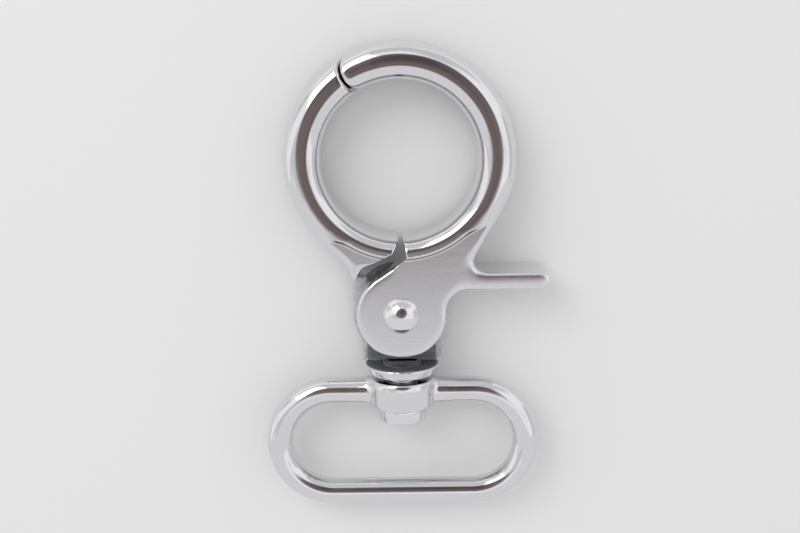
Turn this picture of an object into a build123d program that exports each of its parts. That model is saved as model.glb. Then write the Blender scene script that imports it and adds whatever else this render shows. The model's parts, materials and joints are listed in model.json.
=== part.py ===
"""Swivel snap hook: two cast ring halves on a rivet, sprung shut, over a swivelling strap loop.

The hook lies flat in the XY plane with its front face up (+Z).  The origin is the centre of the
ring's hole at mid depth, +Y points to the top of the ring and +X to the thumb lever's side.
"""

from build123d import *
from math import cos, radians, sin
import os

# ---------------------------------------------------------------- driving dimensions (mm, degrees)
# ring
ring_hole_r = 13.2
ring_width = 6.2
ring_depth = 9.4
ring_front_round = 2.8
ring_rear_round = 0.7

# tip joint between the two halves of the ring
tip_angle = 26.6
tip_slant = 28.0
tip_gap = 0.14
tip_overrun_angle = 12.0
tip_overrun = 8.0

# webs below the ring
web_drop = 0.5
web_start_angle = 56.0
shoulder_blend = 4.0
gate_corner_round = 0.6
notch_gap = 0.5
notch_flare = 0.95
notch_lean = 0.75
gate_corner_drop = 3.1
body_corner_drop = 2.2
slot_shift = 1.43
slot_rise = 2.42
web_foot_width = 0.9
web_foot_rise = 0.25

# pivot
pivot_drop = 26.2
hub_r = 7.6
hub_tangent_angle = 132.0
lap_step = 0.9
plate_thickness = 3.7
plate_clearance = 0.15
lap_clearance = 0.3

# thumb lever
lever_reach = 25.4
lever_thickness = 3.1
lever_rise = 5.75
lever_tip_round = 1.35
waist_x = 10.9
waist_round = 1.8
lever_root_round = 3.4
flank_angle = 30.5
flank_inset = 0.35

# pivot rivet
rivet_shank_r = 1.6
rivet_head_r = 3.15
rivet_head_height = 1.7
rivet_tail_r = 2.8
rivet_tail_height = 0.75
rivet_running_clearance = 0.05
head_clearance = 0.05

# gate spring
spring_wire_r = 0.3
spring_leg_r = 0.31
spring_turns = 2.5
spring_pitch = 0.72
spring_clearance = 0.15
spring_leg_clearance = 0.05
spring_leg_length = 1.2
spring_arbor_room = 0.7

# rear plate and neck
shoulder_half_width = 8.5
right_half_width = 8.1
neck_half_width = 6.9
neck_taper_start = 2.0
neck_taper_end = 2.9
flange_drop = 9.2
flange_top_r = 6.6
flange_bottom_r = 5.6
flange_height = 1.9
flange_round = 0.25

# collar, stud and strap loop
collar_gap = 0.65
collar_r = 5.95
collar_height = 5.1
collar_round = 0.35
stud_shank_r = 2.4
stud_running_clearance = 0.05
stud_countersink_r = 3.5
stud_countersink_depth = 1.0
button_r = 4.2
button_height = 2.65
button_round = 0.6
button_clearance = 0.1
strap_width = 38.0
strap_side_room = 0.35
loop_inner_height = 14.1
loop_wire_r = 2.3

# ---------------------------------------------------------------- worked-out places
half_depth = ring_depth / 2
ring_outer_r = ring_hole_r + ring_width
ring_mid_r = ring_hole_r + ring_width / 2
web_face_z = half_depth - web_drop
plate_face_z = -half_depth + plate_thickness
hub_back_z = plate_face_z + plate_clearance
lap_r = hub_r + lap_step
pivot_y = -pivot_drop
lever_bottom_y = pivot_y + lever_rise - lever_thickness / 2
lever_top_y = pivot_y + lever_rise + lever_thickness / 2
flange_top_y = pivot_y - flange_drop
flange_bottom_y = flange_top_y - flange_height
collar_top_y = flange_bottom_y - collar_gap
collar_bottom_y = collar_top_y - collar_height
arm_y = collar_top_y - collar_height / 2
button_top_y = collar_bottom_y - button_clearance
button_bottom_y = button_top_y - button_height
loop_end_r = loop_inner_height / 2 + loop_wire_r
loop_centre_y = arm_y - loop_end_r
loop_half_width = strap_width / 2 + strap_side_room + loop_wire_r
loop_straight = loop_half_width - loop_end_r
spring_r = rivet_shank_r + spring_arbor_room + spring_wire_r
spring_height = spring_turns * spring_pitch
spring_pocket_r = spring_r + spring_wire_r + spring_clearance
spring_pocket_depth = spring_height + 2 * spring_wire_r + 2 * spring_clearance
spring_start_z = hub_back_z + spring_clearance + spring_wire_r

pivot_plane = Plane(origin=(0, pivot_y, 0), x_dir=(1, 0, 0), z_dir=(0, 0, 1))
tip_radial = Vector(-sin(radians(tip_angle)), cos(radians(tip_angle)), 0)
tip_along = Vector(cos(radians(tip_angle)), sin(radians(tip_angle)), 0)
tip_normal = tip_along * cos(radians(tip_slant)) + Vector(0, 0, 1) * sin(radians(tip_slant))
tip_plane = Plane(origin=tip_radial * ring_mid_r, x_dir=tip_radial, z_dir=tip_normal)

# the V notch at the foot of the ring: its two upper corners and where each casting turns away
gate_notch_top = (notch_gap / 2, -ring_hole_r)
body_notch_top = (-notch_gap / 2, -ring_hole_r)
gate_corner = (notch_gap / 2 + notch_lean, -ring_hole_r - gate_corner_drop)
body_corner = (-notch_gap / 2 - notch_flare, -ring_hole_r - body_corner_drop)
hub_shoulder = (
    hub_r * cos(radians(hub_tangent_angle)),
    pivot_y + hub_r * sin(radians(hub_tangent_angle)),
)
web_foot = (-shoulder_half_width + web_foot_width, hub_shoulder[1] + web_foot_rise)
web_knee = (hub_shoulder[0] - slot_shift, hub_shoulder[1] + slot_rise)
flank_top = (
    (ring_outer_r - flank_inset) * cos(radians(flank_angle)),
    -(ring_outer_r - flank_inset) * sin(radians(flank_angle)),
)


def ring_section():
    """Return the ring's section: nearly square at the back and well rounded at the front."""
    with BuildSketch(Plane.XZ) as section:
        with Locations((ring_mid_r, 0)):
            Rectangle(ring_width, ring_depth)
        fillet(section.vertices().group_by(Axis.Y)[-1], ring_front_round)
        fillet(section.vertices().group_by(Axis.Y)[0], ring_rear_round)
    return section.sketch


def side_of_joint(side):
    """Return all that lies on one side of the notch and tip: +1 is the gate's, -1 the body's."""
    reach = 3 * ring_outer_r
    past_tip = radians(tip_angle + side * tip_overrun_angle)
    tip_corner = (-reach * sin(past_tip), reach * cos(past_tip))
    if side > 0:
        outline = [gate_notch_top, gate_corner, hub_shoulder, (-reach, pivot_y)]
        outline += [(-reach, -reach), (reach, -reach), (reach, reach)]
    else:
        outline = [body_notch_top, body_corner, web_knee, web_foot, (-reach, web_foot[1])]
    with BuildSketch(Plane.XY.offset(-half_depth)) as region:
        Polygon((side * notch_gap / 2, 0), *outline, tip_corner, align=None)
    return region.sketch


def dome_profile(base, radius, height):
    """Return half the section of a domed head, which stands up or hangs down from its base."""
    ball_r = (radius**2 + height**2) / (2 * abs(height))
    sink = ball_r - abs(height)
    half_way = (ball_r**2 - (radius / 2) ** 2) ** 0.5 - sink
    middle = (radius / 2, base + half_way * height / abs(height))
    with BuildSketch() as dome:
        with BuildLine():
            Line((0, base), (radius, base))
            ThreePointArc((radius, base), middle, (0, base + height))
            Line((0, base + height), (0, base))
        make_face()
    return dome.sketch


# ---------------------------------------------------------------- hook body
with BuildPart() as body_web:
    with BuildSketch(Plane.XY.offset(-half_depth)) as web_outline:
        Circle(ring_outer_r)
        Polygon(
            (-shoulder_half_width, 0),
            (-shoulder_half_width, web_foot[1]),
            (0, web_foot[1]),
            (0, 0),
            align=None,
        )
        armpit = (-shoulder_half_width, -((ring_outer_r**2 - shoulder_half_width**2) ** 0.5), 0)
        fillet(web_outline.vertices().sort_by_distance(armpit)[0], shoulder_blend)
        Circle(ring_mid_r, mode=Mode.SUBTRACT)
        add(side_of_joint(-1), mode=Mode.INTERSECT)
        web_reach = 3 * ring_outer_r
        web_start = (
            -web_reach * cos(radians(web_start_angle)),
            -web_reach * sin(radians(web_start_angle)),
        )
        Polygon((0, 0), web_start, (0, -web_reach), align=None, mode=Mode.INTERSECT)
    extrude(amount=ring_depth - web_drop)

with BuildPart() as hook_body:
    # the left half of the ring
    add(ring_section())
    revolve(axis=Axis.Z)
    add(side_of_joint(-1))
    extrude(amount=ring_depth, mode=Mode.INTERSECT)
    add(body_web.part)
    # the slanted end face at the tip
    with BuildSketch(tip_plane.offset(-tip_gap / 2)):
        Rectangle(2 * ring_width, 2 * ring_depth)
    extrude(amount=tip_overrun, mode=Mode.SUBTRACT)
    # the plate behind the pivot
    with BuildSketch(Plane.XY.offset(-half_depth)):
        with Locations((0, pivot_y)):
            Circle(lap_r)
        Polygon(
            (-shoulder_half_width, web_foot[1]),
            (-shoulder_half_width, pivot_y - neck_taper_start),
            (-neck_half_width, flange_top_y + neck_taper_end),
            (-neck_half_width, flange_top_y),
            (neck_half_width, flange_top_y),
            (right_half_width, pivot_y - neck_taper_start),
            (right_half_width, pivot_y),
            (0, pivot_y),
            (0, web_foot[1]),
            align=None,
        )
    extrude(amount=plate_thickness)
    # the neck flange that the collar turns against
    with BuildSketch() as flange_profile:
        Polygon(
            (0, flange_top_y),
            (flange_top_r, flange_top_y),
            (flange_bottom_r, flange_bottom_y),
            (0, flange_bottom_y),
            align=None,
        )
        fillet(flange_profile.vertices().group_by(Axis.X)[-1], flange_round)
    revolve(axis=Axis.Y)
    # the countersunk hole for the stud
    with BuildSketch():
        Polygon(
            (0, flange_top_y),
            (stud_countersink_r, flange_top_y),
            (stud_shank_r, flange_top_y - stud_countersink_depth),
            (stud_shank_r, flange_bottom_y),
            (0, flange_bottom_y),
            align=None,
        )
    revolve(axis=Axis.Y, mode=Mode.SUBTRACT)
    # the hole for the pivot rivet and the one for the spring's fixed leg
    with BuildSketch(pivot_plane.offset(-half_depth)):
        Circle(rivet_shank_r)
    extrude(amount=plate_thickness, mode=Mode.SUBTRACT)
    with BuildSketch(pivot_plane.offset(plate_face_z)):
        with Locations((spring_r, 0)):
            Circle(spring_leg_r + spring_leg_clearance)
    extrude(amount=-spring_leg_length - spring_clearance, mode=Mode.SUBTRACT)

# ---------------------------------------------------------------- gate
with BuildPart() as gate_web:
    with BuildSketch(Plane.XY.offset(-half_depth)) as gate_outline:
        Polygon(
            (0, 0),
            (notch_gap / 2, 0),
            gate_notch_top,
            gate_corner,
            hub_shoulder,
            (0, pivot_y),
            (hub_r, pivot_y),
            (hub_r, lever_bottom_y),
            (lever_reach, lever_bottom_y),
            (lever_reach, lever_top_y),
            (waist_x, lever_top_y),
            flank_top,
            align=None,
        )
        with Locations((0, pivot_y)):
            Circle(hub_r)
        for corner, radius in (
            ((hub_r, lever_bottom_y, 0), lever_root_round),
            ((lever_reach, lever_bottom_y, 0), lever_tip_round),
            ((lever_reach, lever_top_y, 0), lever_tip_round),
            ((waist_x, lever_top_y, 0), waist_round),
            ((*gate_corner, 0), gate_corner_round),
        ):
            fillet(gate_outline.vertices().sort_by_distance(corner)[0], radius)
        Circle(ring_mid_r, mode=Mode.SUBTRACT)
    extrude(amount=ring_depth - web_drop)

with BuildPart() as gate:
    # the right half of the ring
    add(ring_section())
    revolve(axis=Axis.Z)
    add(side_of_joint(1))
    extrude(amount=ring_depth, mode=Mode.INTERSECT)
    add(gate_web.part)
    # the slanted end face at the tip
    with BuildSketch(tip_plane.offset(tip_gap / 2)):
        Rectangle(2 * ring_width, 2 * ring_depth)
    extrude(amount=-tip_overrun, mode=Mode.SUBTRACT)
    # the lap that clears the body's plate
    with BuildSketch(pivot_plane.offset(-half_depth)):
        Circle(lap_r + lap_clearance)
    extrude(amount=hub_back_z + half_depth, mode=Mode.SUBTRACT)
    # the pivot bore, and the pocket and slot that hold the spring
    with BuildSketch(pivot_plane.offset(hub_back_z)):
        Circle(rivet_shank_r + rivet_running_clearance)
    extrude(amount=web_face_z - hub_back_z, mode=Mode.SUBTRACT)
    with BuildSketch(pivot_plane.offset(hub_back_z)):
        Circle(spring_pocket_r)
    extrude(amount=spring_pocket_depth, mode=Mode.SUBTRACT)
    with BuildSketch(pivot_plane.offset(hub_back_z)):
        with Locations((-spring_r - spring_leg_length / 2 - spring_clearance, 0)):
            Rectangle(spring_leg_length + spring_wire_r + spring_clearance, 4 * spring_wire_r)
    extrude(amount=spring_pocket_depth, mode=Mode.SUBTRACT)

# ---------------------------------------------------------------- pivot rivet
with BuildPart() as pivot_rivet:
    with BuildSketch(pivot_plane.offset(-half_depth)):
        Circle(rivet_shank_r)
    extrude(amount=half_depth + web_face_z + head_clearance)
    head_z = web_face_z + head_clearance
    with BuildSketch(Plane(origin=(0, pivot_y, 0), x_dir=(1, 0, 0), z_dir=(0, -1, 0))):
        add(dome_profile(head_z, rivet_head_r, rivet_head_height))
        add(dome_profile(-half_depth, rivet_tail_r, -rivet_tail_height))
    revolve(axis=Axis((0, pivot_y, 0), (0, 0, 1)))

# ---------------------------------------------------------------- gate spring
with BuildPart() as gate_spring:
    with BuildLine(pivot_plane.offset(spring_start_z)) as coil:
        Helix(pitch=spring_pitch, height=spring_height, radius=spring_r)
    with BuildSketch(Plane(origin=coil.line @ 0, z_dir=coil.line % 0)):
        Circle(spring_wire_r)
    sweep(is_frenet=True)
    # the fixed leg turns down into the plate
    fixed_leg_foot_z = plate_face_z - spring_leg_length
    with BuildSketch(pivot_plane.offset(fixed_leg_foot_z)):
        with Locations((spring_r, 0)):
            Circle(spring_leg_r)
    extrude(amount=spring_start_z + spring_wire_r / 2 - fixed_leg_foot_z)
    # the driving leg turns outwards into the gate's slot
    leg_plane = Plane(origin=coil.line @ 1, z_dir=(-1, 0, 0))
    with BuildSketch(leg_plane.offset(-spring_wire_r)):
        Circle(spring_wire_r)
    extrude(amount=spring_leg_length + spring_wire_r)

# ---------------------------------------------------------------- swivel stud
with BuildPart() as swivel_stud:
    with BuildSketch() as stud_profile:
        Polygon(
            (0, flange_top_y),
            (stud_countersink_r, flange_top_y),
            (stud_shank_r, flange_top_y - stud_countersink_depth),
            (stud_shank_r, button_top_y),
            (button_r, button_top_y),
            (button_r, button_bottom_y),
            (0, button_bottom_y),
            align=None,
        )
        button_rim = stud_profile.vertices().sort_by_distance((button_r, button_bottom_y, 0))[0]
        fillet(button_rim, button_round)
    revolve(axis=Axis.Y)

# ---------------------------------------------------------------- strap loop with its collar
with BuildPart() as swivel_loop:
    # the straight arms
    for straight_y in (arm_y, loop_centre_y - loop_end_r):
        with BuildSketch(Plane(origin=(0, straight_y, 0), z_dir=(1, 0, 0))):
            Circle(loop_wire_r)
        extrude(amount=loop_straight, both=True)
    # the round ends
    for side in (-1, 1):
        with BuildSketch(Plane.YZ.offset(side * loop_straight)):
            with Locations((arm_y, 0)):
                Circle(loop_wire_r)
        end_axis = Axis((side * loop_straight, loop_centre_y, 0), (0, 0, -side))
        revolve(axis=end_axis, revolution_arc=180)
    # the collar that the stud passes through
    with BuildSketch() as collar_profile:
        Polygon(
            (0, collar_top_y),
            (collar_r, collar_top_y),
            (collar_r, collar_bottom_y),
            (0, collar_bottom_y),
            align=None,
        )
        fillet(collar_profile.vertices().group_by(Axis.X)[-1], collar_round)
    revolve(axis=Axis.Y)
    with BuildSketch(Plane.XZ.offset(-collar_top_y)):
        Circle(stud_shank_r + stud_running_clearance)
    extrude(amount=collar_height, mode=Mode.SUBTRACT)

# ---------------------------------------------------------------- write the pieces
os.makedirs("parts", exist_ok=True)
hook_body.part.label = "hook_body"
gate.part.label = "gate"
pivot_rivet.part.label = "pivot_rivet"
gate_spring.part.label = "gate_spring"
swivel_stud.part.label = "swivel_stud"
swivel_loop.part.label = "swivel_loop"
export_step(hook_body.part, "parts/hook_body.step")
export_step(gate.part, "parts/gate.step")
export_step(pivot_rivet.part, "parts/pivot_rivet.step")
export_step(gate_spring.part, "parts/gate_spring.step")
export_step(swivel_stud.part, "parts/swivel_stud.step")
export_step(swivel_loop.part, "parts/swivel_loop.step")
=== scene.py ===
"""Looks of a swivel snap hook: plated castings, turned rivets, a spring and a plain studio."""

import json
import logging
import math
from dataclasses import dataclass
from enum import Enum
from typing import Any

import bmesh
import bpy
from mathutils import Matrix, Vector

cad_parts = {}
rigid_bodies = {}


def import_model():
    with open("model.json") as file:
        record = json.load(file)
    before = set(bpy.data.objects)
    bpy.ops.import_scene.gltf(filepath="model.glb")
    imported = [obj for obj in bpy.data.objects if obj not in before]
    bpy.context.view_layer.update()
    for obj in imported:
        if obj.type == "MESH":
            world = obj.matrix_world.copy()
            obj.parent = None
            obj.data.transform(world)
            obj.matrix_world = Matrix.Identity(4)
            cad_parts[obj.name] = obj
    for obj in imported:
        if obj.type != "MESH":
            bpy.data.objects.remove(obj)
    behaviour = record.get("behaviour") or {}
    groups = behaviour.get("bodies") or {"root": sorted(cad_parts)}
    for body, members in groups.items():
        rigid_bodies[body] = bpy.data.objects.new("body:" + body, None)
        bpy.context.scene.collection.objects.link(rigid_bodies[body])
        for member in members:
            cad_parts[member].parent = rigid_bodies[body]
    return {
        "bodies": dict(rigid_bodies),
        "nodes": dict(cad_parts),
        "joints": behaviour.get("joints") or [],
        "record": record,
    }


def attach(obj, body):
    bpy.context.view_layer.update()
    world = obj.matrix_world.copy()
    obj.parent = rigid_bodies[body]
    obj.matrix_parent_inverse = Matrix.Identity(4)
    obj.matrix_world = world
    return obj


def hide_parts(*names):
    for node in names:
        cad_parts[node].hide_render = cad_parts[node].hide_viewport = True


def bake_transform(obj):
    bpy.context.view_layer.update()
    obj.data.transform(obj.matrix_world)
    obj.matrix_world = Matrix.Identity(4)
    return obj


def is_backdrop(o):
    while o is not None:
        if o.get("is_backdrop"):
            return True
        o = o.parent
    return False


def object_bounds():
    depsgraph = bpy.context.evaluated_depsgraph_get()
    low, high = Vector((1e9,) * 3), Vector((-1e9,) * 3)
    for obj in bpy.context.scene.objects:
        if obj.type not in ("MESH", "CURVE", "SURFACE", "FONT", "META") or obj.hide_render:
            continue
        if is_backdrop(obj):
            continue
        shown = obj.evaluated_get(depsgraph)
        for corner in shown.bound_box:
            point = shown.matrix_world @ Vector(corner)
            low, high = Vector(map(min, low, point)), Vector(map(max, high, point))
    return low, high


logging.basicConfig(level=logging.INFO, format="%(levelname)s %(message)s")
LOG = logging.getLogger("snap_hook")

MM = 0.001


class Slot(Enum):
    """The record's material slots."""

    CASTING = "plated_casting"
    RIVET = "plated_rivet"
    SPRING = "spring_wire"


class Body(Enum):
    """The moving bodies of the hook."""

    HOOK = "hook"
    GATE = "gate"
    LOOP = "loop"


def linear_colour(hex_code: str) -> tuple[float, float, float, float]:
    """Turn an sRGB hex colour into linear values.

    Args:
        hex_code: The colour as six hex digits.

    Returns:
        Red, green, blue and an alpha of 1, linear.
    """
    channels = [int(hex_code[i:i + 2], 16) / 255 for i in (0, 2, 4)]
    linear = [c / 12.92 if c <= 0.04045 else ((c + 0.055) / 1.055) ** 2.4 for c in channels]
    return (*linear, 1.0)


def add_node(tree: bpy.types.NodeTree, kind: str, settings: dict[str, Any],
             inputs: dict[Any, Any]) -> bpy.types.Node:
    """Add a node with its settings and its inputs.

    Args:
        tree: The node tree that gets the node.
        kind: The node's type name.
        settings: Attribute names and their values.
        inputs: Input names or numbers, each with a value or the socket that feeds it.

    Returns:
        The new node.
    """
    node = tree.nodes.new(kind)
    for name, value in settings.items():
        setattr(node, name, value)
    for key, value in inputs.items():
        if isinstance(value, bpy.types.NodeSocket):
            tree.links.new(value, node.inputs[key])
        else:
            node.inputs[key].default_value = value
    return node


@dataclass(frozen=True)
class NickelPlate:
    """Bright nickel plate over a die-cast and polished zinc body.

    Tumbled and buffed before plating, so the reflections are sharp but swim a little, the flat
    faces keep a satin grain from the belt, and the recesses that no wheel reaches stay dull.
    The recess behind and under the hub and the flange's top are darkened with painted shade, and
    the steep step beside the ring's crest carries a painted dark reflection.
    """

    name: str = "Nickel plate on polished zinc casting"
    colour: str = "E2E2E4"
    # painted shade: a darker base colour for the recess behind and under the hub
    recess_painted_shade_colour: str = "84858A"
    polished_roughness: float = 0.06
    satin_roughness: float = 0.27
    recess_roughness: float = 0.42
    swim_mm: float = 3.2
    swim_depth_mm: float = 0.012
    grain_length_mm: float = 6.0
    grain_width_mm: float = 0.16
    pit_mm: float = 0.45
    buffed_height_mm: float = 4.2
    recess_height_mm: float = -0.6
    recess_high_y_mm: float = -14.0
    recess_half_width_mm: float = 6.0
    satin_top_y_mm: float = -10.8
    satin_low_y_mm: float = -34.6
    crest_r_mm: float = 16.2
    strip_colour: str = "CDCDCF"
    # painted reflection: a dark brownish base colour on the step beside the crest, carrying on
    # the crest's dark band
    step_painted_reflection_colour: str = "6F6667"
    flange_top_y_mm: float = -35.4
    strip_roughness: float = 0.26

    def material(self) -> bpy.types.Material:
        """Build the plated finish.

        Returns:
            The material.
        """
        material = bpy.data.materials.new(self.name)
        material.use_nodes = True
        tree = material.node_tree
        shader = tree.nodes["Principled BSDF"]
        shader.inputs["Metallic"].default_value = 1.0
        place = add_node(tree, "ShaderNodeTexCoord", {}, {})
        split = add_node(tree, "ShaderNodeSeparateXYZ", {}, {0: place.outputs["Object"]})
        facing = add_node(tree, "ShaderNodeSeparateXYZ", {}, {0: place.outputs["Normal"]})
        flat = add_node(tree, "ShaderNodeMapRange", {"interpolation_type": "SMOOTHSTEP"},
                        {0: facing.outputs["Z"], 1: 0.90, 2: 0.985})
        high = add_node(tree, "ShaderNodeMapRange", {"interpolation_type": "SMOOTHSTEP"},
                        {0: split.outputs["Z"], 1: (self.buffed_height_mm - 0.25) * MM,
                         2: (self.buffed_height_mm - 0.1) * MM})
        out_x = add_node(tree, "ShaderNodeMath", {"operation": "MULTIPLY"},
                         {0: split.outputs["X"], 1: split.outputs["X"]})
        out_xy = add_node(tree, "ShaderNodeMath", {"operation": "MULTIPLY_ADD"},
                          {0: split.outputs["Y"], 1: split.outputs["Y"], 2: out_x.outputs[0]})
        radius = add_node(tree, "ShaderNodeMath", {"operation": "SQRT"}, {0: out_xy.outputs[0]})
        proud = add_node(tree, "ShaderNodeMapRange", {"interpolation_type": "SMOOTHSTEP"},
                         {0: radius.outputs[0], 1: self.crest_r_mm * MM,
                          2: (self.crest_r_mm + 0.35) * MM})
        beside_crest = add_node(tree, "ShaderNodeMapRange", {"interpolation_type": "SMOOTHSTEP"},
                                {0: radius.outputs[0], 1: (self.crest_r_mm + 0.9) * MM,
                                 2: (self.crest_r_mm + 1.3) * MM, 3: 1.0, 4: 0.0})
        ground = add_node(tree, "ShaderNodeMath", {"operation": "MAXIMUM"},
                          {0: flat.outputs[0], 1: beside_crest.outputs[0]})
        above_neck = add_node(tree, "ShaderNodeMath", {"operation": "GREATER_THAN"},
                              {0: split.outputs["Y"], 1: self.satin_low_y_mm * MM})
        below = add_node(tree, "ShaderNodeMapRange", {"interpolation_type": "SMOOTHSTEP"},
                         {0: split.outputs["Y"], 1: (self.satin_top_y_mm - 1.2) * MM,
                          2: self.satin_top_y_mm * MM, 3: 1.0, 4: 0.0})
        on_face = add_node(tree, "ShaderNodeMath", {"operation": "MULTIPLY"},
                           {0: ground.outputs[0], 1: high.outputs[0]})
        on_web = add_node(tree, "ShaderNodeMath", {"operation": "MULTIPLY"},
                          {0: proud.outputs[0], 1: below.outputs[0]})
        belted = add_node(tree, "ShaderNodeMath", {"operation": "MULTIPLY"},
                          {0: on_face.outputs[0], 1: on_web.outputs[0]})
        satin = add_node(tree, "ShaderNodeMath", {"operation": "MULTIPLY"},
                         {0: belted.outputs[0], 1: above_neck.outputs[0]})
        # the recess behind the hub and under it: dull and pitted, and darkened in colour with
        # painted shade
        deep = add_node(tree, "ShaderNodeMapRange", {"interpolation_type": "SMOOTHSTEP"},
                        {0: split.outputs["Z"], 1: self.recess_height_mm * MM,
                         2: (self.recess_height_mm + 1.6) * MM, 3: 1.0, 4: 0.0})
        inward = add_node(tree, "ShaderNodeMapRange", {"interpolation_type": "SMOOTHSTEP"},
                          {0: facing.outputs["Z"], 1: 0.35, 2: 0.8})
        upper = add_node(tree, "ShaderNodeMapRange", {"interpolation_type": "SMOOTHSTEP"},
                         {0: split.outputs["Y"], 1: self.recess_high_y_mm * MM,
                          2: (self.recess_high_y_mm + 0.6) * MM, 3: 1.0, 4: 0.0})
        deep_inward = add_node(tree, "ShaderNodeMath", {"operation": "MULTIPLY"},
                               {0: deep.outputs[0], 1: inward.outputs[0]})
        low_down = add_node(tree, "ShaderNodeMath", {"operation": "MULTIPLY"},
                            {0: deep_inward.outputs[0], 1: upper.outputs[0]})
        off_centre = add_node(tree, "ShaderNodeMath", {"operation": "ABSOLUTE"},
                              {0: split.outputs["X"]})
        central = add_node(tree, "ShaderNodeMapRange", {"interpolation_type": "SMOOTHSTEP"},
                           {0: off_centre.outputs[0], 1: (self.recess_half_width_mm - 0.3) * MM,
                            2: (self.recess_half_width_mm + 0.4) * MM, 3: 1.0, 4: 0.0})
        plate_recess = add_node(tree, "ShaderNodeMath", {"operation": "MULTIPLY"},
                                {0: low_down.outputs[0], 1: central.outputs[0]})
        # the flange's top, which faces the hub across a narrow gap: dull, and darkened with
        # painted shade like the recess
        ledge = add_node(tree, "ShaderNodeMapRange", {"interpolation_type": "SMOOTHSTEP"},
                         {0: facing.outputs["Y"], 1: 0.6, 2: 0.9})
        ledge_top = add_node(tree, "ShaderNodeMath", {"operation": "COMPARE"},
                             {0: split.outputs["Y"], 1: self.flange_top_y_mm * MM, 2: 0.5 * MM})
        flange_top = add_node(tree, "ShaderNodeMath", {"operation": "MULTIPLY"},
                              {0: ledge.outputs[0], 1: ledge_top.outputs[0]})
        recess = add_node(tree, "ShaderNodeMath", {"operation": "MAXIMUM"},
                          {0: plate_recess.outputs[0], 1: flange_top.outputs[0]})
        # the as-cast strips of the plate beside the hub
        strips = add_node(tree, "ShaderNodeMath", {"operation": "SUBTRACT", "use_clamp": True},
                          {0: low_down.outputs[0], 1: central.outputs[0]})
        # belt grain: long along X, fine along Y
        grain_scale = add_node(tree, "ShaderNodeMapping", {}, {
            "Vector": place.outputs["Object"],
            "Scale": (1 / (self.grain_length_mm * MM), 1 / (self.grain_width_mm * MM),
                      1 / (self.grain_length_mm * MM))})
        grain = add_node(tree, "ShaderNodeTexNoise", {},
                         {"Vector": grain_scale.outputs[0], "Scale": 1.0, "Detail": 4.0})
        swim = add_node(tree, "ShaderNodeTexNoise", {},
                        {"Vector": place.outputs["Object"], "Scale": 1 / (self.swim_mm * MM),
                         "Detail": 1.0})
        pits = add_node(tree, "ShaderNodeTexNoise", {},
                        {"Vector": place.outputs["Object"], "Scale": 1 / (self.pit_mm * MM),
                         "Detail": 5.0, "Roughness": 0.65})
        # roughness: polished, then satin on the buffed faces, then dull in the recess
        haze = add_node(tree, "ShaderNodeMapRange", {},
                        {0: swim.outputs["Fac"], 1: 0.35, 2: 0.75,
                         3: self.polished_roughness, 4: self.polished_roughness + 0.05})
        streaks = add_node(tree, "ShaderNodeMapRange", {},
                           {0: grain.outputs["Fac"], 1: 0.3, 2: 0.7,
                            3: self.satin_roughness - 0.04, 4: self.satin_roughness + 0.05})
        satin_mix = add_node(tree, "ShaderNodeMix", {"data_type": "FLOAT"},
                             {0: satin.outputs[0], 2: haze.outputs[0], 3: streaks.outputs[0]})
        strip_mix = add_node(tree, "ShaderNodeMix", {"data_type": "FLOAT"},
                             {0: strips.outputs[0], 2: satin_mix.outputs[0],
                              3: self.strip_roughness})
        rough_mix = add_node(tree, "ShaderNodeMix", {"data_type": "FLOAT"},
                             {0: recess.outputs[0], 2: strip_mix.outputs[0],
                              3: self.recess_roughness})
        tree.links.new(rough_mix.outputs[0], shader.inputs["Roughness"])
        # painted reflection: the steep step beside the crest is darkened in colour to carry on
        # the crest's dark reflected band
        steep = add_node(tree, "ShaderNodeMath", {"operation": "SUBTRACT", "use_clamp": True},
                         {0: 1.0, 1: flat.outputs[0]})
        steep_web = add_node(tree, "ShaderNodeMath", {"operation": "MULTIPLY"},
                             {0: steep.outputs[0], 1: satin.outputs[0]})
        step = add_node(tree, "ShaderNodeMath", {"operation": "MULTIPLY"},
                        {0: steep_web.outputs[0], 1: beside_crest.outputs[0]})
        strip_tint = add_node(tree, "ShaderNodeMix", {"data_type": "RGBA"},
                              {0: strips.outputs[0], 6: linear_colour(self.colour),
                               7: linear_colour(self.strip_colour)})
        step_reflection_tint = add_node(tree, "ShaderNodeMix", {"data_type": "RGBA"},
                             {0: step.outputs[0], 6: strip_tint.outputs[2],
                              7: linear_colour(self.step_painted_reflection_colour)})
        # painted shade: the recess and the flange's top take the darker recess colour
        recess_shade_tint = add_node(tree, "ShaderNodeMix", {"data_type": "RGBA"},
                        {0: recess.outputs[0], 6: step_reflection_tint.outputs[2],
                         7: linear_colour(self.recess_painted_shade_colour)})
        tree.links.new(recess_shade_tint.outputs[2], shader.inputs["Base Color"])
        # relief: the casting's slow swim, the belt grain and the recess pits
        swim_bump = add_node(tree, "ShaderNodeBump", {},
                             {"Height": swim.outputs["Fac"], "Distance": self.swim_depth_mm * MM,
                              "Strength": 0.6})
        grain_strength = add_node(tree, "ShaderNodeMath", {"operation": "MULTIPLY"},
                                  {0: satin.outputs[0], 1: 0.08})
        grain_bump = add_node(tree, "ShaderNodeBump", {},
                              {"Height": grain.outputs["Fac"], "Distance": 0.012 * MM,
                               "Strength": grain_strength.outputs[0],
                               "Normal": swim_bump.outputs[0]})
        as_cast = add_node(tree, "ShaderNodeMath", {"operation": "MAXIMUM"},
                           {0: recess.outputs[0], 1: strips.outputs[0]})
        pit_bump = add_node(tree, "ShaderNodeBump", {},
                            {"Height": pits.outputs["Fac"], "Distance": 0.34 * MM,
                             "Strength": as_cast.outputs[0], "Normal": grain_bump.outputs[0]})
        tree.links.new(pit_bump.outputs[0], shader.inputs["Normal"])
        return material


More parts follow.
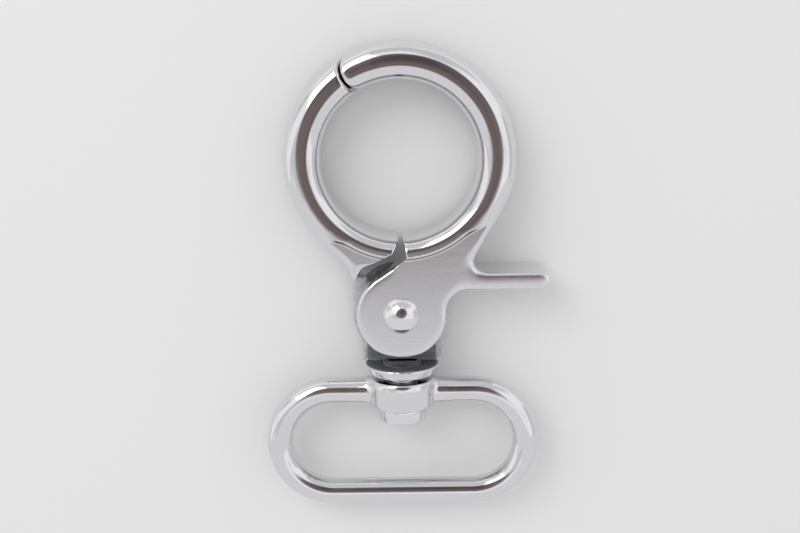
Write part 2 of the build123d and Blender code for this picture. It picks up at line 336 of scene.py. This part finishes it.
@dataclass(frozen=True)
class RivetPlate:
    """Bright nickel plate on a cold-headed steel rivet: smoother than the castings."""

    name: str = "Nickel plate on headed steel rivet"
    colour: str = "E6E6E8"
    roughness: float = 0.035
    haze_mm: float = 2.6

    def material(self) -> bpy.types.Material:
        """Build the rivet's finish.

        Returns:
            The material.
        """
        material = bpy.data.materials.new(self.name)
        material.use_nodes = True
        tree = material.node_tree
        shader = tree.nodes["Principled BSDF"]
        shader.inputs["Metallic"].default_value = 1.0
        shader.inputs["Base Color"].default_value = linear_colour(self.colour)
        place = add_node(tree, "ShaderNodeTexCoord", {}, {})
        haze = add_node(tree, "ShaderNodeTexNoise", {},
                        {"Vector": place.outputs["Object"], "Scale": 1 / (self.haze_mm * MM),
                         "Detail": 3.0})
        rough = add_node(tree, "ShaderNodeMapRange", {},
                         {0: haze.outputs["Fac"], 1: 0.4, 2: 0.8, 3: self.roughness,
                          4: self.roughness + 0.06})
        tree.links.new(rough.outputs[0], shader.inputs["Roughness"])
        bump = add_node(tree, "ShaderNodeBump", {},
                        {"Height": haze.outputs["Fac"], "Distance": 0.0006 * MM, "Strength": 0.3})
        tree.links.new(bump.outputs[0], shader.inputs["Normal"])
        return material


@dataclass(frozen=True)
class SpringSteel:
    """Drawn spring wire: a grey skin with fine draw lines along the wire."""

    name: str = "Drawn spring steel wire"
    colour: str = "8C8D90"
    roughness: float = 0.34
    line_mm: float = 0.12

    def material(self) -> bpy.types.Material:
        """Build the wire's finish.

        Returns:
            The material.
        """
        material = bpy.data.materials.new(self.name)
        material.use_nodes = True
        tree = material.node_tree
        shader = tree.nodes["Principled BSDF"]
        shader.inputs["Metallic"].default_value = 1.0
        place = add_node(tree, "ShaderNodeTexCoord", {}, {})
        lines = add_node(tree, "ShaderNodeTexNoise", {},
                         {"Vector": place.outputs["Object"], "Scale": 1 / (self.line_mm * MM),
                          "Detail": 3.0})
        rough = add_node(tree, "ShaderNodeMapRange", {},
                         {0: lines.outputs["Fac"], 1: 0.3, 2: 0.7, 3: self.roughness - 0.08,
                          4: self.roughness + 0.1})
        tone = add_node(tree, "ShaderNodeMix", {"data_type": "RGBA"},
                        {0: lines.outputs["Fac"], 6: linear_colour(self.colour),
                         7: linear_colour("6F7074")})
        tree.links.new(rough.outputs[0], shader.inputs["Roughness"])
        tree.links.new(tone.outputs[2], shader.inputs["Base Color"])
        return material


@dataclass(frozen=True)
class SoftZone:
    """A place on a casting where hand finishing rounds it more than elsewhere (mm).

    Each pass reaches a little less far than the one before, so the extra rounding fades out.
    """

    low: tuple[float, float, float]
    high: tuple[float, float, float]
    passes: int
    fade: float = 1.6
    round_spot: bool = False
    ring_r: float = 0.0

    def holds(self, point: Vector, drawn_in: float) -> bool:
        """Tell whether a point is in the zone after the zone has drawn in.

        Args:
            point: The point, in metres.
            drawn_in: How far the zone's sides have moved inwards (mm).

        Returns:
            True if the point is inside.
        """
        if math.hypot(point.x, point.y) < (self.ring_r + drawn_in / 2) * MM:
            return False
        if self.round_spot:
            centre = [(lo + hi) / 2 for lo, hi in zip(self.low, self.high)]
            reach = (self.high[0] - self.low[0]) / 2 - drawn_in
            return math.hypot(point.x / MM - centre[0], point.y / MM - centre[1]) <= reach and (
                self.low[2] <= point.z / MM <= self.high[2])
        return all((lo + drawn_in) * MM <= value <= (hi - drawn_in) * MM
                   for lo, value, hi in zip(self.low, point, self.high))

    def finish(self, metal: bmesh.types.BMesh) -> None:
        """Smooth the zone, fading out towards its sides."""
        near = [vert for vert in metal.verts if self.holds(vert.co, 0.0)]
        for step in range(self.passes):
            drawn_in = self.fade * step / self.passes
            inside = [vert for vert in near if self.holds(vert.co, drawn_in)]
            bmesh.ops.smooth_vert(metal, verts=inside, factor=0.5, use_axis_x=True,
                                  use_axis_y=True, use_axis_z=True)


@dataclass(frozen=True)
class GroundFlat:
    """A web's flat face, ground down until it cuts into the ring's crest (mm, degrees).

    Angles are measured about the ring's axis from straight down, positive to the lever's side.
    """

    from_angle: float
    to_angle: float
    fade_angle: float
    level: float = 4.2
    inner_r: float = 16.3
    narrowing: float = 2.3
    outer_r: float = 21.0
    ramp: float = 0.25
    crest_level: float = 4.56
    crest_r: float = 15.0

    def grind(self, metal: bmesh.types.BMesh) -> None:
        """Lower the ring's outer flank to the web's level.

        Args:
            metal: The casting's mesh, changed in place.
        """
        for vert in metal.verts:
            height = vert.co.z / MM
            if height < self.level - 0.25:
                continue
            across, down = vert.co.x / MM, -vert.co.y / MM
            radius = math.hypot(across, down)
            angle = math.degrees(math.atan2(across, down))
            if not (self.from_angle <= angle <= self.to_angle
                    and self.crest_r <= radius <= self.outer_r):
                continue
            far_end = max(abs(self.from_angle), abs(self.to_angle))
            closing = min(max((abs(angle) - far_end + self.fade_angle) / self.fade_angle, 0), 1)
            start = self.inner_r + self.narrowing * closing**2
            cut = min(max((radius - start) / self.ramp, 0.0), 1.0)
            worn = height + (min(height, self.crest_level) - height) * (1 - closing)
            vert.co.z = (worn + (min(worn, self.level) - worn) * cut) * MM


@dataclass
class Casting:
    """A die casting: the frame's solid with its corners flowed and polished round."""

    node: str
    body: Body
    skin_mm: float = 0.22
    polish_passes: int = 6
    zones: tuple[SoftZone, ...] = ()
    flats: tuple[GroundFlat, ...] = ()
    roots: tuple[tuple[float, ...], ...] = ()
    root_steps: int = 48

    def build(self, frame: dict[str, Any], finish: bpy.types.Material) -> bpy.types.Object:
        """Make the polished casting from the frame's solid.

        Args:
            frame: The loaded frame.
            finish: The material of its surface.

        Returns:
            The new piece, riding on its body.
        """
        mesh = frame["nodes"][self.node].data.copy()
        self.merge(mesh)
        rough_piece = bpy.data.objects.new(self.node + "_rough", mesh)
        bpy.context.collection.objects.link(rough_piece)
        skin = rough_piece.modifiers.new("skin", "REMESH")
        skin.mode = "VOXEL"
        skin.voxel_size = self.skin_mm * MM
        skin.adaptivity = 0.0
        depsgraph = bpy.context.evaluated_depsgraph_get()
        cast = bpy.data.meshes.new_from_object(rough_piece.evaluated_get(depsgraph))
        bpy.data.objects.remove(rough_piece)
        self.polish(cast)
        cast.materials.clear()
        cast.materials.append(finish)
        piece = bpy.data.objects.new(self.node + "_plated", cast)
        bpy.context.collection.objects.link(piece)
        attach(piece, self.body.value)
        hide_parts(self.node)
        return piece

    def merge(self, mesh: bpy.types.Mesh) -> None:
        """Weld the loose triangles of a copied solid and add the flared arm roots.

        Args:
            mesh: The copied mesh, changed in place.
        """
        weld = bmesh.new()
        weld.from_mesh(mesh)
        bmesh.ops.remove_doubles(weld, verts=weld.verts, dist=0.002 * MM)
        for side, height, *outline in self.roots:
            self.flare(weld, side, height, list(zip(outline[::2], outline[1::2])))
        weld.to_mesh(mesh)
        weld.free()

    def flare(self, weld: bmesh.types.BMesh, side: float, height: float,
              outline: list[tuple[float, float]]) -> None:
        """Spin a flared root round an arm's own axis.

        Args:
            weld: The mesh that gets the root.
            side: Which arm, -1 or 1.
            height: The arm's place along Y (mm).
            outline: Distance along the arm and radius of each point (mm).
        """
        centre = Vector((0.0, height, 0.0)) * MM
        points = [(outline[0][0], 0.0), *outline, (outline[-1][0], 0.0)]
        verts = [weld.verts.new(centre + Vector((side * along * MM, radius * MM, 0.0)))
                 for along, radius in points]
        edges = [weld.edges.new(pair) for pair in zip(verts, verts[1:])]
        made = bmesh.ops.spin(weld, geom=verts + edges, cent=centre, axis=(1.0, 0.0, 0.0),
                              angle=math.tau, steps=self.root_steps, use_merge=True)
        ring = {vert for item in made["geom_last"] for vert in getattr(item, "verts", [item])}
        ring.update(vert for vert in verts if vert.is_valid)
        shell, faces = list(ring), set()
        while shell:
            for face in shell.pop().link_faces:
                if face not in faces:
                    faces.add(face)
                    shell.extend(face.verts)
        bmesh.ops.remove_doubles(weld, verts=list({v for f in faces for v in f.verts}),
                                 dist=0.001 * MM)
        bmesh.ops.recalc_face_normals(weld, faces=[face for face in faces if face.is_valid])

    def polish(self, mesh: bpy.types.Mesh) -> None:
        """Round the whole casting evenly, then its soft zones further, and grind its flats.

        Args:
            mesh: The casting's mesh, changed in place.
        """
        metal = bmesh.new()
        metal.from_mesh(mesh)
        for _ in range(self.polish_passes):
            bmesh.ops.smooth_vert(metal, verts=metal.verts, factor=0.5, use_axis_x=True,
                                  use_axis_y=True, use_axis_z=True)
        for zone in self.zones:
            zone.finish(metal)
        for flat in self.flats:
            flat.grind(metal)
        for face in metal.faces:
            face.smooth = True
        metal.to_mesh(mesh)
        metal.free()


@dataclass
class TurnedPiece:
    """A headed rivet: half its outline, spun about its own axis (mm)."""

    node: str
    body: Body
    origin: tuple[float, float, float]
    axis: tuple[float, float, float]
    across: tuple[float, float, float]
    outline: tuple[tuple[float, float], ...]
    edge_round_mm: float
    steps: int = 128

    def build(self, finish: bpy.types.Material) -> bpy.types.Object:
        """Spin the outline into a closed piece.

        Args:
            finish: The material of its surface.

        Returns:
            The new piece, riding on its body.
        """
        centre = Vector(self.origin) * MM
        along = Vector(self.axis)
        across = Vector(self.across)
        turned = bmesh.new()
        points = [centre + across * (radius * MM) + along * (height * MM)
                  for radius, height in self.outline]
        verts = [turned.verts.new(point) for point in points]
        edges = [turned.edges.new(pair) for pair in zip(verts, verts[1:])]
        bmesh.ops.spin(turned, geom=verts + edges, cent=centre, axis=along, angle=math.tau,
                       steps=self.steps, use_merge=True, use_duplicate=False)
        bmesh.ops.remove_doubles(turned, verts=turned.verts, dist=0.001 * MM)
        bmesh.ops.recalc_face_normals(turned, faces=turned.faces)
        corners = [edge for edge in turned.edges
                   if len(edge.link_faces) == 2 and edge.calc_face_angle(0.0) > math.radians(40)]
        bmesh.ops.bevel(turned, geom=corners, offset=self.edge_round_mm * MM, segments=4,
                        profile=0.5, affect="EDGES", material=-1, clamp_overlap=True)
        for face in turned.faces:
            face.smooth = True
        mesh = bpy.data.meshes.new(self.node + "_turned")
        turned.to_mesh(mesh)
        turned.free()
        mesh.materials.append(finish)
        piece = bpy.data.objects.new(self.node + "_plated", mesh)
        bpy.context.collection.objects.link(piece)
        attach(piece, self.body.value)
        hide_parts(self.node)
        return piece


@dataclass
class PivotSpring:
    """The torsion spring round the rivet: one leg in the plate, the other in the gate (mm)."""

    foot: float = -0.4
    top: float = 1.4
    pivot_y: float = -26.2

    def build(self, frame: dict[str, Any], finish: bpy.types.Material) -> bpy.types.Object:
        """Make the spring from a welded, smooth copy of the frame's spring.

        Args:
            frame: The loaded frame.
            finish: The material of its surface.

        Returns:
            The new piece, left in place on no body.
        """
        mesh = frame["nodes"]["gate_spring"].data.copy()
        wire = bmesh.new()
        wire.from_mesh(mesh)
        bmesh.ops.remove_doubles(wire, verts=wire.verts, dist=0.002 * MM)
        for face in wire.faces:
            face.smooth = True
        wire.to_mesh(mesh)
        wire.free()
        mesh.materials.clear()
        mesh.materials.append(finish)
        piece = bpy.data.objects.new("gate_spring_wire", mesh)
        bpy.context.collection.objects.link(piece)
        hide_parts("gate_spring")
        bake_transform(piece)
        return piece


def dome_outline(base: float, radius: float, height: float,
                 steps: int = 24) -> list[tuple[float, float]]:
    """Work out a domed head from its rim to its crown.

    Args:
        base: The height of the rim (mm).
        radius: The rim's radius (mm).
        height: The rise of the crown, negative for a head that hangs down (mm).
        steps: The points along the dome.

    Returns:
        Radius and height of each point (mm).
    """
    ball = (radius**2 + height**2) / (2 * abs(height))
    rim_angle = math.asin(radius / ball)
    sign = math.copysign(1.0, height)
    points = []
    for step in range(steps + 1):
        angle = rim_angle * (1 - step / steps)
        rise = ball * math.cos(angle) - (ball - abs(height))
        points.append((ball * math.sin(angle), base + sign * rise))
    return points


@dataclass
class Studio:
    """A pale floor, a broad lamp, a plain room to reflect, and the camera (mm, degrees)."""

    floor_size: float = 2400.0
    floor_colour: str = "E4E4E3"
    view_distance: float = 190.0
    view_lean: float = 12.0
    view_roll: float = 0.7
    aim: tuple[float, float, float] = (-0.14, -18.48, 0.0)
    lens: float = 50.0
    lamp_place: tuple[float, float, float] = (-260.0, 300.0, 420.0)
    lamp_side: float = 320.0
    lamp_power: float = 0.8
    table_colour: str = "E4E4E6"
    panel_colour: str = "FFFFFF"
    fold_colour: str = "D3D3D6"
    shade_colour: str = "544C4B"
    warm_shade_colour: str = "7A6D6A"
    room_level: float = 1.0
    canopy_centre: tuple[float, float, float] = (0.0, 35.0, 196.0)
    canopy_half_size: tuple[float, float] = (138.0, 128.0)

    def build(self, lowest: float) -> None:
        """Make the floor, lamp, room and camera.

        Args:
            lowest: The height of the object's lowest point, where the floor lies.
        """
        self.lay_floor(lowest)
        self.hang_lamp()
        self.paint_room()
        self.hang_canopy()
        self.set_camera()

    def lay_floor(self, lowest: float) -> None:
        """Lay the pale floor at the given height."""
        sheet = bmesh.new()
        bmesh.ops.create_grid(sheet, x_segments=2, y_segments=2, size=self.floor_size * MM / 2)
        bmesh.ops.translate(sheet, verts=sheet.verts, vec=(0.0, 0.0, lowest))
        mesh = bpy.data.meshes.new("floor")
        sheet.to_mesh(mesh)
        sheet.free()
        material = bpy.data.materials.new("Matt painted board")
        material.use_nodes = True
        shader = material.node_tree.nodes["Principled BSDF"]
        shader.inputs["Base Color"].default_value = linear_colour(self.floor_colour)
        shader.inputs["Roughness"].default_value = 0.9
        mesh.materials.append(material)
        floor = bpy.data.objects.new("floor", mesh)
        bpy.context.collection.objects.link(floor)
        floor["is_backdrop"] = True

    def hang_lamp(self) -> None:
        """Hang one broad soft lamp over the object's upper left."""
        lamp = bpy.data.lights.new("softbox", "AREA")
        lamp.shape = "SQUARE"
        lamp.size = self.lamp_side * MM
        lamp.energy = self.lamp_power
        holder = bpy.data.objects.new("softbox", lamp)
        place = Vector(self.lamp_place) * MM
        aim = Vector(self.aim) * MM
        holder.matrix_world = (Matrix.Translation(place)
                               @ (place - aim).to_track_quat("Z", "Y").to_matrix().to_4x4())
        bpy.context.collection.objects.link(holder)

    def paint_room(self) -> None:
        """Paint the room: a pale table low down and white panels above."""
        world = bpy.data.worlds.new("studio")
        world.use_nodes = True
        bpy.context.scene.world = world
        tree = world.node_tree
        back = tree.nodes["Background"]
        way = add_node(tree, "ShaderNodeTexCoord", {}, {})
        split = add_node(tree, "ShaderNodeSeparateXYZ", {}, {0: way.outputs["Generated"]})
        # soft folds in the panels, so that broad reflections aren't one even tone
        folds = add_node(tree, "ShaderNodeTexNoise", {},
                         {"Vector": way.outputs["Generated"], "Scale": 1.7, "Detail": 1.0})
        fold_tone = add_node(tree, "ShaderNodeMapRange", {"interpolation_type": "SMOOTHSTEP"},
                             {0: folds.outputs["Fac"], 1: 0.42, 2: 0.62})
        panels = add_node(tree, "ShaderNodeMix", {"data_type": "RGBA"},
                          {0: fold_tone.outputs[0], 6: linear_colour(self.panel_colour),
                           7: linear_colour(self.fold_colour)})
        low = add_node(tree, "ShaderNodeMapRange", {"interpolation_type": "SMOOTHSTEP"},
                       {0: split.outputs["Y"], 1: -0.30, 2: -0.24, 3: 1.0, 4: 0.0})
        all_round = add_node(tree, "ShaderNodeMix", {"data_type": "RGBA"},
                             {0: low.outputs[0], 6: panels.outputs[2],
                              7: linear_colour(self.table_colour)})
        tree.links.new(all_round.outputs[2], back.inputs["Color"])
        back.inputs["Strength"].default_value = self.room_level

    def hang_canopy(self) -> None:
        """Hang a dark soft-edged cloth over the object, which only its reflections show."""
        across, along = self.canopy_half_size
        cloth = bmesh.new()
        bmesh.ops.create_grid(cloth, x_segments=4, y_segments=4, size=1.0)
        bmesh.ops.scale(cloth, verts=cloth.verts, vec=(across * MM, along * MM, 1.0))
        bmesh.ops.translate(cloth, verts=cloth.verts, vec=Vector(self.canopy_centre) * MM)
        mesh = bpy.data.meshes.new("canopy")
        cloth.to_mesh(mesh)
        cloth.free()
        material = bpy.data.materials.new("Dark canopy cloth")
        material.use_nodes = True
        tree = material.node_tree
        tree.nodes.remove(tree.nodes["Principled BSDF"])
        place = add_node(tree, "ShaderNodeTexCoord", {}, {})
        centred = add_node(tree, "ShaderNodeVectorMath", {"operation": "SUBTRACT"},
                           {0: place.outputs["Object"], 1: Vector(self.canopy_centre) * MM})
        scaled = add_node(tree, "ShaderNodeVectorMath", {"operation": "MULTIPLY"},
                          {0: centred.outputs[0],
                           1: (1 / (across * MM), 1 / (along * MM), 0.0)})
        away = add_node(tree, "ShaderNodeVectorMath", {"operation": "LENGTH"},
                        {0: scaled.outputs[0]})
        cover = add_node(tree, "ShaderNodeMapRange", {"interpolation_type": "SMOOTHSTEP"},
                         {0: away.outputs["Value"], 1: 0.58, 2: 1.0, 3: 1.0, 4: 0.0})
        creases = add_node(tree, "ShaderNodeTexNoise", {},
                           {"Vector": place.outputs["Object"], "Scale": 1 / (90.0 * MM),
                            "Detail": 1.0})
        crease_tone = add_node(tree, "ShaderNodeMapRange", {},
                               {0: creases.outputs["Fac"], 1: 0.4, 2: 0.62})
        tone = add_node(tree, "ShaderNodeMix", {"data_type": "RGBA"},
                        {0: crease_tone.outputs[0], 6: linear_colour(self.shade_colour),
                         7: linear_colour(self.warm_shade_colour)})
        glow = add_node(tree, "ShaderNodeEmission", {}, {"Color": tone.outputs[2]})
        clear = add_node(tree, "ShaderNodeBsdfTransparent", {}, {})
        mixed = add_node(tree, "ShaderNodeMixShader", {},
                         {0: cover.outputs[0], 1: clear.outputs[0], 2: glow.outputs[0]})
        tree.links.new(mixed.outputs[0], tree.nodes["Material Output"].inputs["Surface"])
        mesh.materials.append(material)
        canopy = bpy.data.objects.new("canopy", mesh)
        canopy.visible_camera = False
        canopy.visible_diffuse = False
        canopy.visible_shadow = False
        bpy.context.collection.objects.link(canopy)
        canopy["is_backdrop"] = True

    def set_camera(self) -> None:
        """Set the camera above the hook, leaning to the ring's side."""
        lean = math.radians(self.view_lean)
        roll = math.radians(self.view_roll)
        back = Vector((0.0, math.sin(lean), math.cos(lean)))
        level_up = Vector((0.0, math.cos(lean), -math.sin(lean)))
        level_right = Vector((1.0, 0.0, 0.0))
        up = level_up * math.cos(roll) + level_right * math.sin(roll)
        right = level_right * math.cos(roll) - level_up * math.sin(roll)
        place = (Vector(self.aim) + back * self.view_distance) * MM
        camera = bpy.data.cameras.new("camera")
        camera.lens = self.lens
        camera.clip_start = 0.01
        holder = bpy.data.objects.new("camera", camera)
        turn = Matrix((right, up, back)).transposed().to_4x4()
        holder.matrix_world = Matrix.Translation(place) @ turn
        bpy.context.collection.objects.link(holder)
        bpy.context.scene.camera = holder


def castings() -> list[Casting]:
    """List the three castings with the places that are finished rounder by hand.

    Returns:
        The hook body, the gate and the loop.
    """
    body_border = (
        SoftZone((-14.4, -20.2, -5.0), (-7.6, -13.4, 5.0), 60, 1.4, True, 17.6),
        SoftZone((-20.0, -24.0, 1.2), (-5.4, -10.5, 6.0), 46, 1.2, ring_r=17.4),
        SoftZone((-8.0, -19.5, 2.4), (0.6, -12.8, 6.0), 12, 0.6, ring_r=16.9),
        SoftZone((-9.5, -33.0, -2.4), (-6.3, -19.0, 0.6), 18, 0.5),
        SoftZone((5.9, -33.0, -2.4), (9.5, -19.0, 0.6), 18, 0.5),
    )
    gate_border = (
        SoftZone((12.2, -14.4, -5.0), (21.4, -5.2, 5.0), 80, 1.8, True, 17.8),
        SoftZone((9.0, -24.0, 1.2), (27.0, -6.0, 6.0), 50, 1.2, ring_r=17.6),
        SoftZone((-9.0, -35.0, 2.2), (12.0, -12.6, 6.0), 20, 0.6, ring_r=17.0),
        SoftZone((-11.8, 8.6, 0.4), (-4.5, 20.0, 6.4), 90, 2.4),
    )
    collar = SoftZone((-6.6, -43.4, -6.6), (6.6, -37.6, 6.6), 16, 0.2)
    arm_root = (-40.5, 4.6, 2.5, 6.0, 2.5, 6.6, 2.46, 7.4, 2.4, 8.4, 2.34, 9.6, 2.3)
    arm_blends = tuple(
        SoftZone((min(side * 4.6, side * 8.6), -43.4, -3.6),
                 (max(side * 4.6, side * 8.6), -37.6, 3.6), 14, 0.8)
        for side in (-1, 1))
    return [
        Casting("hook_body", Body.HOOK, zones=body_border,
                flats=(GroundFlat(-46.0, 6.0, 15.0),)),
        Casting("gate", Body.GATE, zones=gate_border, flats=(GroundFlat(-20.0, 58.0, 20.0),)),
        Casting("swivel_loop", Body.LOOP, skin_mm=0.2, polish_passes=7,
                zones=(collar, *arm_blends),
                roots=((-1.0, *arm_root), (1.0, *arm_root))),
    ]


def pivot_rivet() -> TurnedPiece:
    """Describe the pivot rivet with its domed head and low tail."""
    face, back, shank, head, tail = 4.25, -4.7, 1.6, 3.15, 2.8
    dome = dome_outline(face, head, 1.7)
    rear = dome_outline(back, tail, -0.75)[::-1]
    outline = (*rear, (shank, back), (shank, face), *dome)
    return TurnedPiece("pivot_rivet", Body.HOOK, (0.0, -26.2, 0.0), (0.0, 0.0, 1.0),
                       (1.0, 0.0, 0.0), outline, 0.05)


def swivel_stud() -> TurnedPiece:
    """Describe the stud from its countersunk head to the button under the collar."""
    outline = ((0.0, -35.45), (3.45, -35.45), (2.4, -36.4), (2.4, -43.15), (3.95, -43.15),
               (4.2, -43.4), (4.2, -45.2), (4.02, -45.62), (3.6, -45.8), (0.0, -45.8))
    return TurnedPiece("swivel_stud", Body.HOOK, (0.0, 0.0, 0.0), (0.0, 1.0, 0.0),
                       (1.0, 0.0, 0.0), outline, 0.08)


def corners(bounds: Any) -> list[list[float]]:
    """Turn a pair of corners into plain lists of numbers."""
    return [[float(value) for value in corner] for corner in bounds]


def main() -> None:
    """Load the frame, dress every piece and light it."""
    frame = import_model()
    solid_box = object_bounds()
    plate = NickelPlate().material()
    bright = RivetPlate().material()
    for casting in castings():
        piece = casting.build(frame, plate)
        LOG.info("%s: %d faces", piece.name, len(piece.data.polygons))
    for turned in (pivot_rivet(), swivel_stud()):
        piece = turned.build(bright)
        LOG.info("%s: %d faces", piece.name, len(piece.data.polygons))
    piece = PivotSpring().build(frame, SpringSteel().material())
    LOG.info("%s: %d faces", piece.name, len(piece.data.polygons))
    Studio().build(solid_box[0][2])
    bpy.context.scene.view_settings.view_transform = "Standard"


if __name__ == "__main__":
    main()
